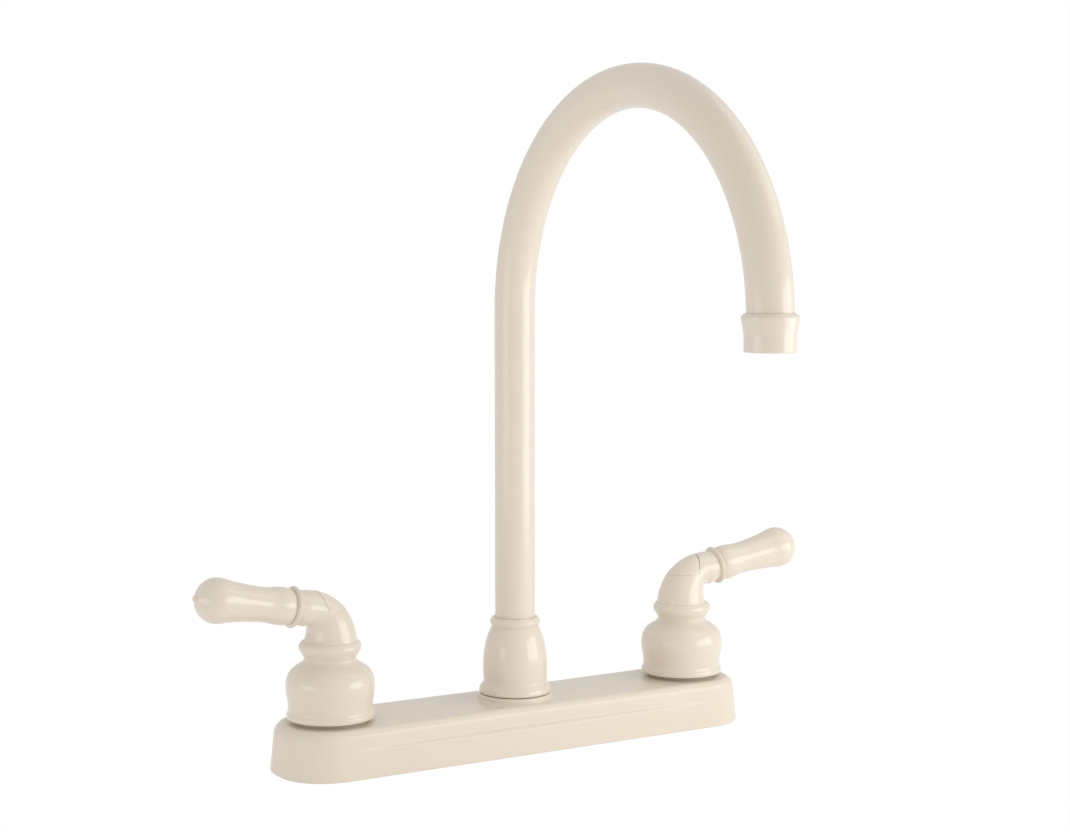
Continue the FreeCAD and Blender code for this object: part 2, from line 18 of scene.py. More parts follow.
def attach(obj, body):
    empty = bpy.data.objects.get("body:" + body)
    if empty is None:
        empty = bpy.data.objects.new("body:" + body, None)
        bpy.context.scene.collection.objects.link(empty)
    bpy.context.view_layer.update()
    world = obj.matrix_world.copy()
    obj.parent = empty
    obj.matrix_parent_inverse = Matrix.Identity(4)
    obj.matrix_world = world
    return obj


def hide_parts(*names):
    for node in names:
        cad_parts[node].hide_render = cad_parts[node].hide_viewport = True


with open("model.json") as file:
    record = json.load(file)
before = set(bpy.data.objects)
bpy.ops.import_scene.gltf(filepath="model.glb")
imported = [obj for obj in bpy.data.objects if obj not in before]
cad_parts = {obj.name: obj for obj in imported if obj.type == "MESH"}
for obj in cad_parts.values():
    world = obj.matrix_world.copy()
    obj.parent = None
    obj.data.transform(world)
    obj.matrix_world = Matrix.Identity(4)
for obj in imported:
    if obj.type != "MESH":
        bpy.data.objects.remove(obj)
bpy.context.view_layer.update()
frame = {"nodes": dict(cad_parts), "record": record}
LOG = logging.getLogger("faucet")

MM = 0.001
HALF_SPREAD = 101.6
SEGMENTS = 128
CURVE_STEPS = 14
EDGE_SAG = 0.3
SHARP_ANGLE = math.radians(32.0)
WELD_DISTANCE = 2e-7
SLIVER_LENGTH = 1e-8
LEAST_RADIUS = 1e-6
WHITE = (1.0, 1.0, 1.0, 1.0)

Point = Tuple[float, float]
Spot = Tuple[float, float, float]
Colour = Tuple[float, float, float]
Ring = Sequence[bmesh.types.BMVert]


class Side(Enum):
    """The two ends of the deck plate."""

    LEFT = "left"
    RIGHT = "right"

    @property
    def mirror(self) -> Matrix:
        """Matrix that carries a left piece to this side."""
        return Matrix.Scale(-1.0 if self is Side.RIGHT else 1.0, 4, Vector((1.0, 0.0, 0.0)))

    def axis(self, half_spread: float) -> Matrix:
        """Place of the upright axis of this side's valve."""
        return self.mirror @ Matrix.Translation((-half_spread, 0.0, 0.0))


class Cut(Enum):
    """Ways to combine two closed meshes."""

    DIFFERENCE = "DIFFERENCE"
    INTERSECT = "INTERSECT"


class Grain(Enum):
    """Relief that a finish carries."""

    ORANGE_PEEL = "orange_peel"
    MOULDED = "moulded"
    CELLS = "cells"
    TURNED = "turned"


def smooth_curve(points: Sequence[Point]) -> list[Point]:
    """Cubic curve through points, with end slopes taken from the points nearest each end.

    Args:
        points: The points that the curve passes.

    Returns:
        Points along the curve, first and last included.
    """
    p = np.array(points, float)
    count = len(p)
    t = np.concatenate([[0.0], np.cumsum(np.linalg.norm(np.diff(p, axis=0), axis=1))])
    h = np.diff(t)
    near = min(4, count)
    ends = []
    for chosen, at in ((slice(0, near), t[0]), (slice(count - near, count), t[-1])):
        fits = [np.polyder(np.polyfit(t[chosen], p[chosen, k], near - 1)) for k in (0, 1)]
        ends.append(np.array([np.polyval(fit, at) for fit in fits]))
    rows = np.zeros((count, count))
    right = np.zeros((count, 2))
    rows[0, 0], rows[0, 1] = 2 * h[0], h[0]
    right[0] = 6 * ((p[1] - p[0]) / h[0] - ends[0])
    rows[-1, -1], rows[-1, -2] = 2 * h[-1], h[-1]
    right[-1] = 6 * (ends[1] - (p[-1] - p[-2]) / h[-1])
    for i in range(1, count - 1):
        rows[i, i - 1], rows[i, i], rows[i, i + 1] = h[i - 1], 2 * (h[i - 1] + h[i]), h[i]
        right[i] = 6 * ((p[i + 1] - p[i]) / h[i] - (p[i] - p[i - 1]) / h[i - 1])
    bend = np.linalg.solve(rows, right)
    curve = [tuple(p[0])]
    for i in range(count - 1):
        for k in range(1, CURVE_STEPS + 1):
            b = k / CURVE_STEPS
            a = 1 - b
            sag = ((a ** 3 - a) * bend[i] + (b ** 3 - b) * bend[i + 1]) * h[i] ** 2 / 6
            curve.append(tuple(a * p[i] + b * p[i + 1] + sag))
    return curve


def outline_of(start: Point, *runs: Sequence[Point]) -> list[Point]:
    """Joins runs of (radius, height) points; a run of one point is straight, a longer one a smooth curve.

    Args:
        start: First point of the outline.
        runs: Points that follow, each run going on from the end of the one before.

    Returns:
        The points in order.
    """
    joined = [start]
    for run in runs:
        joined += run if len(run) == 1 else smooth_curve([joined[-1], *run])[1:]
    return joined


class Shaper:
    """Collects the faces of one piece, in millimetres, and turns them into an object."""

    def __init__(self, name: str, place: Optional[Matrix] = None) -> None:
        """Starts an empty piece.

        Args:
            name: Name of the piece.
            place: Carries the piece's own points into the shared frame.
        """
        self.name = name
        self.place = Matrix.Scale(MM, 4) @ (place or Matrix.Identity(4))
        self.mesh = bmesh.new()

    def ring(self, at: Matrix, radius: float, count: int) -> Ring:
        """Adds a circle of vertices, or a single one for no radius.

        Args:
            at: Place of the circle, its axis along Z.
            radius: Radius of the circle.
            count: Vertices round the circle.

        Returns:
            The new vertices.
        """
        if radius < LEAST_RADIUS:
            return [self.mesh.verts.new(self.place @ at @ Vector((0.0, 0.0, 0.0)))]
        angles = [2 * math.pi * i / count for i in range(count)]
        spots = [Vector((radius * math.cos(a), radius * math.sin(a), 0.0)) for a in angles]
        return [self.mesh.verts.new(self.place @ at @ spot) for spot in spots]

    def bridge(self, low: Ring, high: Ring) -> None:
        """Adds the band of faces between two rings, either of which may be a single vertex.

        Args:
            low: Vertices of one ring.
            high: Vertices of the next.
        """
        count = max(len(low), len(high))
        if count == 1:
            return
        for i in range(count):
            j = (i + 1) % count
            if len(low) == 1:
                corners = [low[0], high[j], high[i]]
            elif len(high) == 1:
                corners = [low[i], low[j], high[0]]
            else:
                corners = [low[i], low[j], high[j], high[i]]
            self.mesh.faces.new(corners)

    def join(self, rings: Sequence[Ring], closed: bool) -> "Shaper":
        """Adds the bands between rings that follow each other.

        Args:
            rings: The rings in order.
            closed: Whether the last ring joins the first.

        Returns:
            This shaper.
        """
        for low, high in zip(rings, rings[1:]):
            self.bridge(low, high)
        if closed:
            self.bridge(rings[-1], rings[0])
        return self

    def cap(self, rings: Sequence[Ring]) -> "Shaper":
        """Closes the first and the last ring with a face.

        Args:
            rings: The rings in order.

        Returns:
            This shaper.
        """
        for end in (rings[0], rings[-1]):
            self.mesh.faces.new(end)
        return self

    def lathe(self, outline: Sequence[Point], closed: bool = False, count: int = SEGMENTS) -> "Shaper":
        """Turns an outline of (radius, height) points about Z; closed joins its last point to its first."""
        rings = [self.ring(Matrix.Translation((0.0, 0.0, z)), r, count) for r, z in outline]
        return self.join(rings, closed)

    def sweep(self, places: Sequence[Matrix], radii: Sequence[float], closed: bool = False,
              count: int = SEGMENTS) -> "Shaper":
        """Joins circles along a path.

        Args:
            places: One place for each circle, its axis along Z.
            radii: One radius for each circle.
            closed: Whether the last circle joins the first; otherwise both ends are capped.
            count: Segments of a circle.

        Returns:
            This shaper.
        """
        rings = [self.ring(place, radius, count) for place, radius in zip(places, radii)]
        self.join(rings, closed)
        return self if closed else self.cap(rings)

    def strip(self, rows: Sequence[Sequence[Vector]]) -> "Shaper":
        """Joins closed rows of points, each as long as the next, and caps the two ends."""
        rings = [[self.mesh.verts.new(self.place @ spot) for spot in row] for row in rows]
        return self.join(rings, False).cap(rings)

    def build(self, sharp: float = SHARP_ANGLE) -> bpy.types.Object:
        """Closes the piece and links it to the scene.

        Args:
            sharp: Edges that turn by more than this angle stay crisp.

        Returns:
            The new object.
        """
        bmesh.ops.remove_doubles(self.mesh, verts=self.mesh.verts, dist=WELD_DISTANCE)
        bmesh.ops.dissolve_degenerate(self.mesh, dist=SLIVER_LENGTH, edges=self.mesh.edges)
        bmesh.ops.recalc_face_normals(self.mesh, faces=self.mesh.faces)
        data = bpy.data.meshes.new(self.name)
        self.mesh.to_mesh(data)
        self.mesh.free()
        piece = bpy.data.objects.new(self.name, data)
        bpy.context.scene.collection.objects.link(piece)
        soften(piece, sharp)
        return piece


def soften(piece: bpy.types.Object, sharp: float = SHARP_ANGLE) -> None:
    """Shades a piece smooth and keeps the edges sharper than an angle crisp."""
    piece.data.polygons.foreach_set("use_smooth", [True] * len(piece.data.polygons))
    piece.data.set_sharp_from_angle(angle=sharp)


def combine(piece: bpy.types.Object, tool: bpy.types.Object, cut: Cut) -> None:
    """Applies a cut to a piece and removes the tool.

    Args:
        piece: The piece that changes.
        tool: The closed mesh that it is combined with.
        cut: How they are combined.
    """
    change = piece.modifiers.new("cut", "BOOLEAN")
    change.operation = cut.value
    change.solver = "EXACT"
    change.object = tool
    graph = bpy.context.evaluated_depsgraph_get()
    result = bpy.data.meshes.new_from_object(piece.evaluated_get(graph))
    piece.modifiers.clear()
    before = piece.data
    piece.data = result
    bpy.data.meshes.remove(before)
    bpy.data.objects.remove(tool)
    soften(piece)


def fill(tree: bpy.types.NodeTree, node: bpy.types.Node, inputs: dict) -> bpy.types.Node:
    """Sets or links the inputs of a node.

    Args:
        tree: The nodes of a material or world.
        node: The node to fill.
        inputs: A value, or the socket that feeds it, for each input by name or number.

    Returns:
        The node.
    """
    for name, given in inputs.items():
        if isinstance(given, bpy.types.NodeSocket):
            tree.links.new(given, node.inputs[name])
        else:
            node.inputs[name].default_value = given
    return node


TONE_SCALE, TONE_DETAIL = 38.0, 3.0
TONE_SPAN = (0.32, 0.68)
GLOSS_SCALE, GLOSS_DETAIL = 120.0, 4.0
GLOSS_SPAN = (0.3, 0.7)
LEAST_ROUGHNESS = 0.02
GRAIN_DETAIL = {Grain.ORANGE_PEEL: 2.0, Grain.MOULDED: 6.0}
TURNING_WANDER, TURNING_DETAIL = 1.5, 3.0


@dataclass(frozen=True)
class Finish:
    """A finish with a little change of tone, gloss and relief over the surface."""

    name: str
    colour: Colour
    tone: float
    roughness: float
    gloss_change: float
    grain: Grain
    grain_scale: float
    grain_height: float
    metallic: float = 0.0
    coat: float = 0.0
    coat_roughness: float = 0.1
    specular: float = 0.5
    glow: float = 0.0

    def shade(self, factor: float) -> Tuple[float, float, float, float]:
        """The finish's colour made lighter or darker."""
        red, green, blue = (min(1.0, part * factor) for part in self.colour)
        return (red, green, blue, 1.0)

    def material(self) -> bpy.types.Material:
        """Builds the node material, or returns the one already built.

        Returns:
            The material.
        """
        known = bpy.data.materials.get(self.name)
        if known is not None:
            return known
        made = bpy.data.materials.new(self.name)
        made.use_nodes = True
        tree = made.node_tree
        where = tree.nodes.new("ShaderNodeTexCoord").outputs["Object"]
        fill(tree, tree.nodes["Principled BSDF"], {
            "Base Color": self._tone(tree, where),
            "Roughness": self._gloss(tree, where),
            "Normal": self._relief(tree, where),
            "Metallic": self.metallic,
            "Coat Weight": self.coat,
            "Coat Roughness": self.coat_roughness,
            "Specular IOR Level": self.specular,
            "Emission Color": WHITE,
            "Emission Strength": self.glow,
        })
        return made

    def _noise(self, tree: bpy.types.NodeTree, where: bpy.types.NodeSocket, scale: float,
               detail: float) -> bpy.types.NodeSocket:
        """Noise that is fixed to the piece."""
        inputs = {"Vector": where, "Scale": scale, "Detail": detail}
        return fill(tree, tree.nodes.new("ShaderNodeTexNoise"), inputs).outputs["Fac"]

    def _tone(self, tree: bpy.types.NodeTree, where: bpy.types.NodeSocket) -> bpy.types.NodeSocket:
        """Lets the colour drift slowly over the surface.

        Args:
            tree: The material's nodes.
            where: Places on the piece.

        Returns:
            The colour.
        """
        noise = self._noise(tree, where, TONE_SCALE, TONE_DETAIL)
        ramp = fill(tree, tree.nodes.new("ShaderNodeValToRGB"), {"Fac": noise})
        for element, position, change in zip(ramp.color_ramp.elements, TONE_SPAN, (-self.tone, self.tone)):
            element.position = position
            element.color = self.shade(1.0 + change)
        return ramp.outputs["Color"]

    def _gloss(self, tree: bpy.types.NodeTree, where: bpy.types.NodeSocket) -> bpy.types.NodeSocket:
        """Makes patches that are a little duller or brighter.

        Args:
            tree: The material's nodes.
            where: Places on the piece.

        Returns:
            The roughness.
        """
        span = fill(tree, tree.nodes.new("ShaderNodeMapRange"), {
            "Value": self._noise(tree, where, GLOSS_SCALE, GLOSS_DETAIL),
            "From Min": GLOSS_SPAN[0],
            "From Max": GLOSS_SPAN[1],
            "To Min": max(LEAST_ROUGHNESS, self.roughness - self.gloss_change),
            "To Max": self.roughness + self.gloss_change,
        })
        return span.outputs["Result"]

    def _relief(self, tree: bpy.types.NodeTree, where: bpy.types.NodeSocket) -> bpy.types.NodeSocket:
        """Makes fine relief of the kind that the finish names.

        Args:
            tree: The material's nodes.
            where: Places on the piece.

        Returns:
            The surface's direction.
        """
        if self.grain is Grain.CELLS:
            cells = fill(tree, tree.nodes.new("ShaderNodeTexVoronoi"), {"Vector": where, "Scale": self.grain_scale})
            height = cells.outputs["Distance"]
        elif self.grain is Grain.TURNED:
            inputs = {"Vector": where, "Scale": self.grain_scale, "Distortion": TURNING_WANDER,
                      "Detail": TURNING_DETAIL}
            lines = fill(tree, tree.nodes.new("ShaderNodeTexWave"), inputs)
            lines.bands_direction = "Z"
            height = lines.outputs["Fac"]
        else:
            height = self._noise(tree, where, self.grain_scale, GRAIN_DETAIL[self.grain])
        inputs = {"Strength": 1.0, "Distance": self.grain_height, "Height": height}
        return fill(tree, tree.nodes.new("ShaderNodeBump"), inputs).outputs["Normal"]


BISQUE_COLOUR: Colour = (0.787, 0.693, 0.58)

BISQUE = Finish("bisque_gloss", BISQUE_COLOUR, 0.005, 0.16, 0.012, Grain.ORANGE_PEEL, 420.0, 0.000003,
                coat=0.2, coat_roughness=0.06)
BISQUE_COVER = Finish("bisque_gloss_cover", BISQUE_COLOUR, 0.005, 0.16, 0.012, Grain.ORANGE_PEEL, 420.0, 0.000003,
                      specular=0.38)
BISQUE_TUBE = Finish("bisque_coated_tube", BISQUE_COLOUR, 0.005, 0.2, 0.015, Grain.ORANGE_PEEL, 520.0, 0.000003,
                     coat=0.2, coat_roughness=0.08)
WHITE_MOULDING = Finish("white_moulding", (0.80, 0.80, 0.77), 0.02, 0.45, 0.06, Grain.MOULDED, 900.0, 0.00005)
WATERWAY = Finish("waterway_moulding", (0.66, 0.66, 0.63), 0.03, 0.5, 0.06, Grain.MOULDED, 700.0, 0.00006)
RUBBER = Finish("black_rubber", (0.02, 0.02, 0.02), 0.1, 0.7, 0.08, Grain.MOULDED, 1400.0, 0.00004)
# Darker brown-grey colour for the ring in the gap under each hub; it paints the shade in that gap.
HUB_GAP_SHADE = Finish("hub_gap_shade", (0.5, 0.43, 0.36), 0.05, 0.55, 0.06, Grain.MOULDED, 1200.0, 0.00002)
FOAM = Finish("grey_foam", (0.05, 0.05, 0.052), 0.12, 0.9, 0.05, Grain.CELLS, 900.0, 0.0003)
BRASS = Finish("turned_brass", (0.62, 0.43, 0.17), 0.05, 0.28, 0.06, Grain.TURNED, 900.0, 0.00003, metallic=1.0)
STEEL = Finish("stainless_steel", (0.55, 0.55, 0.56), 0.04, 0.3, 0.06, Grain.TURNED, 1100.0, 0.00002, metallic=1.0)
CERAMIC = Finish("white_ceramic", (0.84, 0.83, 0.80), 0.01, 0.12, 0.02, Grain.MOULDED, 1200.0, 0.00001)
FLOOR = Finish("pale_floor", (0.8, 0.8, 0.8), 0.004, 0.8, 0.03, Grain.MOULDED, 60.0, 0.00002, specular=0.1,
               glow=0.22)

SLOT_FINISH = {
    "bisque_cover": BISQUE_COVER,
    "bisque_bell": BISQUE,
    "bisque_handle": BISQUE,
    "bisque_tube": BISQUE_TUBE,
    "bisque_aerator": BISQUE,
    "foam": FOAM,
    "rubber": RUBBER,
    "waterway": WATERWAY,
    "waterway_tube": WATERWAY,
    "white_plastic": WHITE_MOULDING,
    "brass": BRASS,
    "disc_ceramic": CERAMIC,
    "screw_steel": STEEL,
    "screen_steel": STEEL,
}


def coat(piece: bpy.types.Object, finish: Finish) -> None:
    """Gives a piece one finish all over."""
    piece.data.materials.clear()
    piece.data.materials.append(finish.material())


def settle(piece: bpy.types.Object, body: str, slot: str, *nodes: str,
           finish: Optional[Finish] = None) -> None:
    """Finishes a piece, ties it to its body and lets it stand for CAD nodes.

    Args:
        piece: The finished mesh, in place.
        body: The body that it moves with.
        slot: The record's material slot.
        nodes: CAD nodes that it stands for.
        finish: The finish, where it isn't the slot's own.
    """
    coat(piece, finish or SLOT_FINISH[slot])
    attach(piece, body)
    if nodes:
        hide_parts(*nodes)
    LOG.info("%s: %d faces on %s", piece.name, len(piece.data.polygons), body)


@dataclass
class DeckPlate:
    """Long cover plate with rounded ends, a set-in upper band and a boss under the spout; mm, degrees."""

    half_spread: float = HALF_SPREAD
    overhang: float = 27.7
    depth: float = 54.0
    end_flat: float = 6.0
    height: float = 23.0
    draft: float = 2.2
    edge: float = 3.7
    end_edge: float = 6.0
    wall: float = 2.6
    recess: float = 3.0
    boss_radius: float = 18.6
    boss_height: float = 2.4
    boss_edge: float = 1.4
    boss_bore: float = 12.85
    boss_sink: float = 1.0
    boss_cove: float = 0.9
    cove_sag: Point = (0.22, 0.24)
    # Ring in the gap under each hub, coloured darker to paint the shade there.
    shade_ring_radius: float = 17.35
    shade_ring_wall: float = 0.5
    shade_ring_height: float = 2.8
    band_level: float = 13.5
    band_depth: float = 1.4
    band_round: float = 1.5
    band_length: float = 198.0
    rim_edge: float = 0.35
    side_levels: Tuple[float, ...] = (4.0, 8.0)
    upper_shares: Tuple[float, ...] = (-0.66, -0.33)
    crisp: float = 24.0
    corner_steps: int = 28
    long_steps: int = 96
    end_steps: int = 6
    band_steps: int = 22
    edge_steps: int = 14

    @property
    def slope(self) -> float:
        """Angle by which the sides lean in."""
        return math.atan2(self.draft, self.height)

    def base_points(self) -> list[Tuple[Vector, Vector]]:
        """Lays out the plate's foot line.

        Returns:
            Points in order, each with the direction that faces out.
        """
        radius = (self.depth - self.end_flat) / 2
        x = self.half_spread + self.overhang - radius
        y = self.depth / 2 - radius
        points: list[Tuple[Vector, Vector]] = []
        corners = ((x, -y, 270.0), (x, y, 0.0), (-x, y, 90.0), (-x, -y, 180.0))
        for index, (cx, cy, start) in enumerate(corners):
            for i in range(self.corner_steps + 1):
                angle = math.radians(start + 90.0 * i / self.corner_steps)
                out = Vector((math.cos(angle), math.sin(angle), 0.0))
                points.append((Vector((cx, cy, 0.0)) + radius * out, out))
            nx, ny, _ = corners[(index + 1) % 4]
            first, out = points[-1]
            end = Vector((nx, ny, 0.0)) + radius * out
            steps = self.end_steps if index % 2 == 0 else self.long_steps
            points += [(first.lerp(end, i / steps), out) for i in range(1, steps)]
        return points

    def set_in(self, spot: Vector) -> Vector:
        """Moves a point in where the upper band is let into the long sides with a rounded step.

        Args:
            spot: Point of the plate's outline.

        Returns:
            The moved point.
        """
        depth = self.band_depth * max(0.0, 1 - (2 * spot.x / self.band_length) ** 2)
        half = self.band_round * math.sin(math.acos(1 - depth / (2 * self.band_round)))
        rise = min(half, max(-half, spot.z - self.band_level))
        arc = self.band_round - math.sqrt(self.band_round ** 2 - (half - abs(rise)) ** 2)
        inset = arc if rise < 0 else depth - arc
        return Vector((spot.x, math.copysign(abs(spot.y) - inset, spot.y), spot.z))

    def row(self, levels: Callable[[float], Point]) -> list[Vector]:
        """One outline of the plate.

        Args:
            levels: Gives inset and height for the edge radius at a point; the ends have the larger one.

        Returns:
            Points in order round the plate.
        """
        points = []
        for spot, out in self.base_points():
            inset, height = levels(self.edge + (self.end_edge - self.edge) * out.x ** 2)
            points.append(self.set_in(spot - inset * out + Vector((0.0, 0.0, height))))
        return points

    def side_row(self, height: float) -> list[Vector]:
        """Outline of the leaning side at one height."""
        return self.row(lambda edge: (height * math.tan(self.slope), height))

    def edge_levels(self, share: float, edge: float) -> Point:
        """Finds a place on the rounded top edge.

        Args:
            share: The place, from the edge's lower end (0) to the flat top (1); less than 0 lies below the edge.
            edge: Radius of the edge.

        Returns:
            Inset and height.
        """
        start = self.height - edge * (1 - math.sin(self.slope))
        if share < 0:
            level = start + share * (start - self.band_level - self.band_round)
            return (level * math.tan(self.slope), level)
        angle = self.slope + (math.pi / 2 - self.slope) * share
        centre = start * math.tan(self.slope) + edge * math.cos(self.slope)
        return (centre - edge * math.cos(angle), self.height - edge * (1 - math.sin(angle)))

    def edge_row(self, share: float) -> list[Vector]:
        """Outline at one place of the rounded top edge."""
        return self.row(lambda edge: self.edge_levels(share, edge))

    def rows(self) -> list[list[Vector]]:
        """Lays out the plate from the recess under it, round its rim and up to its top.

        Returns:
            The outlines in order.
        """
        rows = [self.row(lambda edge: (self.wall, self.recess)), self.row(lambda edge: (self.wall, 0.0))]
        rows.append(self.row(lambda edge: (self.rim_edge, 0.0)))
        rows += [self.side_row(height) for height in (self.rim_edge, *self.side_levels)]
        step = 2 * self.band_round / self.band_steps
        low = self.band_level - self.band_round
        rows += [self.side_row(low + step * i) for i in range(self.band_steps + 1)]
        rows += [self.edge_row(share) for share in self.upper_shares]
        rows += [self.edge_row(i / self.edge_steps) for i in range(self.edge_steps + 1)]
        return rows

    def boss(self) -> list[Point]:
        """Draws the raised ring under the spout's bell, with a small cove at its foot.

        Returns:
            Closed outline.
        """
        low, deck, top = self.height - self.boss_sink, self.height, self.height + self.boss_height
        radius, e = self.boss_radius, self.boss_edge
        foot = radius + self.boss_cove
        soft = e * (1 - math.sqrt(0.5))
        return outline_of(
            (self.boss_bore, low), [(foot, low)], [(foot, deck)],
            [(radius + self.cove_sag[0], deck + self.cove_sag[1]), (radius, deck + self.boss_cove)],
            [(radius, top - e)], [(radius - soft, top - soft), (radius - e, top)],
            [(self.boss_bore, top)],
        )

    def shade_ring(self) -> list[Point]:
        """Draws the thin ring that stands on the plate inside a handle's hub; its darker colour paints the shade in
        the gap under the hub.

        Returns:
            Closed outline.
        """
        inner = self.shade_ring_radius - self.shade_ring_wall
        soft = self.shade_ring_wall / 2
        low, high = self.height, self.height + self.shade_ring_height
        return [(inner, low), (self.shade_ring_radius, low), (self.shade_ring_radius, high - soft),
                (self.shade_ring_radius - soft, high), (inner, high)]

    def build(self) -> None:
        """Makes the plate with its boss, and round each valve a darker ring that paints the shade in the gap under
        its hub.
        """
        shaper = Shaper("deck_plate_shell").strip(self.rows())
        shaper.lathe(self.boss(), closed=True)
        settle(shaper.build(math.radians(self.crisp)), "base", "bisque_cover", "deck_plate")
        for side in Side:
            # Darker ring that paints the shade in the gap under the hub.
            ring = Shaper(f"{side.value}_hub_gap_shade", side.axis(self.half_spread)).lathe(self.shade_ring(), closed=True)
            settle(ring.build(), "base", "rubber", finish=HUB_GAP_SHADE)


@dataclass
class InletShanks:
    """Threads on the two inlet shanks below the plate; mm, degrees."""

    half_spread: float = HALF_SPREAD
    radius: float = 10.36
    crest: float = 0.34
    pitch: float = 1.814
    upper: Tuple[float, float] = (-29.4, -0.8)
    lower: Tuple[float, float] = (-58.6, -47.8)
    ridge_half: float = 0.42
    root_sink: float = 0.1
    crisp: float = 50.0
    steps: int = 40

    def thread(self, low: float, high: float) -> list[list[Vector]]:
        """Rows of a ridge that climbs round the shank.

        Args:
            low: Level where the ridge starts.
            high: Level where it ends.

        Returns:
            One three-point row for each step of the climb.
        """
        turns = (high - low) / self.pitch
        count = int(turns * self.steps)
        rows = []
        for i in range(count + 1):
            angle = 2 * math.pi * i / self.steps
            level = low + self.pitch * i / self.steps
            run_out = min(1.0, i / self.steps, (count - i) / self.steps)
            out = Vector((math.cos(angle), math.sin(angle), 0.0))
            half = Vector((0.0, 0.0, self.pitch * self.ridge_half))
            middle = Vector((0.0, 0.0, level))
            root = out * (self.radius - self.root_sink)
            rows.append([middle + root - half, middle + out * (self.radius + self.crest * run_out),
                         middle + root + half])
        return rows

    def build(self) -> None:
        """Makes the threads of both shanks, above and below the wing nuts."""
        for side in Side:
            shaper = Shaper(f"{side.value}_shank_thread", side.axis(self.half_spread))
            for low, high in (self.upper, self.lower):
                shaper.strip(self.thread(low, high))
            settle(shaper.build(math.radians(self.crisp)), "base", "waterway")


@dataclass
class WingNuts:
    """Flanged wing nuts that clamp the counter from below; mm."""

    half_spread: float = HALF_SPREAD
    top: float = -30.0
    bore: float = 10.5
    flange_radius: float = 22.0
    flange: float = 3.0
    radius: float = 14.0
    height: float = 12.0
    cove: Tuple[Point, ...] = ((1.2, 0.0), (0.3, -0.4), (0.0, -1.4))
    edge: float = 0.6
    edge_share: float = 0.45
    wing_start: float = 0.8
    wing_radius: float = 25.0
    wing_width: float = 6.0
    wing_drop: float = 2.0
    wing_sink: float = 1.0
    ribs: int = 5
    rib_start: float = 1.6
    rib_pitch: float = 2.0
    rib_half: float = 0.5
    rib_rise: float = 0.35
    rib_foot: float = 0.8
    rib_gap: float = 0.5
    segments: int = 96

    def body(self) -> list[Point]:
        """Draws flange and hub.

        Returns:
            Closed outline.
        """
        low, under, e = self.top - self.height, self.top - self.flange, self.edge
        rim, hub, sag = self.flange_radius, self.radius, e * EDGE_SAG
        cove = [(hub + out, under + up) for out, up in self.cove]
        return outline_of(
            (self.bore, self.top), [(rim - e, self.top)],
            [(rim - sag, self.top - sag), (rim, self.top - e)],
            [(rim, under + e)], [(rim - sag, under + sag), (rim - e, under)],
            cove[:1], cove[1:],
            [(hub, low + e)], [(hub - sag, low + sag), (hub - e, low)],
            [(self.bore, low)],
        )

    def slab(self, shaper: Shaper, low: Vector, high: Vector) -> None:
        """Adds a box with softened upright edges.

        Args:
            shaper: The nut that takes it.
            low: Its lowest corner.
            high: Its highest corner.
        """
        e = min(self.edge, (high.y - low.y) * self.edge_share)
        flat = [(low.x + e, low.y), (high.x - e, low.y), (high.x, low.y + e), (high.x, high.y - e),
                (high.x - e, high.y), (low.x + e, high.y), (low.x, high.y - e), (low.x, low.y + e)]
        shaper.strip([[Vector((x, y, z)) for x, y in flat] for z in (low.z, high.z)])

    def build(self) -> None:
        """Makes both nuts, each with two ribbed wings."""
        bottom = self.top - self.height - self.wing_drop
        half = self.wing_width / 2
        proud = half + self.rib_rise
        for side in Side:
            shaper = Shaper(f"{side.value}_wing_nut", side.axis(self.half_spread))
            shaper.lathe(self.body(), closed=True, count=self.segments)
            for way in (-1.0, 1.0):
                near, far = sorted((way * (self.bore + self.wing_start), way * self.wing_radius))
                self.slab(shaper, Vector((near, -half, bottom)), Vector((far, half, self.top - self.wing_sink)))
                for i in range(self.ribs):
                    x = way * (self.radius + self.rib_start + self.rib_pitch * i)
                    self.slab(shaper, Vector((x - self.rib_half, -proud, bottom + self.rib_foot)),
                              Vector((x + self.rib_half, proud, self.top - self.flange - self.rib_gap)))
            settle(shaper.build(), "base", "white_plastic", f"{side.value}_mounting_nut")


@dataclass
class SpoutBell:
    """Bell-shaped nut at the foot of the riser; mm, heights above its foot."""

    foot: float = 25.8
    skirt: Tuple[Point, ...] = ((17.5, 0.0), (17.9, 0.6), (17.9, 1.2), (17.4, 3.05), (16.1, 4.758), (15.7, 6.1))
    body: Tuple[Point, ...] = ((15.95, 9.4), (15.95, 16.2), (14.0, 27.3), (11.45, 33.3))
    bead: Tuple[Point, ...] = ((12.45, 35.5), (11.1, 37.7))
    bore: float = 10.0
    thread_bore: float = 12.6
    inner_shoulder: float = 14.0

    def outline(self) -> list[Point]:
        """Draws the bell, outside and bore.

        Returns:
            Closed outline.
        """
        low, inner = self.foot, self.foot + self.inner_shoulder
        skirt, body, bead = ([(r, low + h) for r, h in run] for run in (self.skirt, self.body, self.bead))
        return outline_of(
            (self.thread_bore, low), skirt[:1], skirt[1:], body, bead,
            [(self.bore, bead[-1][1])], [(self.bore, inner)], [(self.thread_bore, inner)],
        )

    def build(self) -> None:
        """Makes the bell."""
        shaper = Shaper("spout_bell_shell").lathe(self.outline(), closed=True)
        settle(shaper.build(), "base", "bisque_bell", "spout_bell")


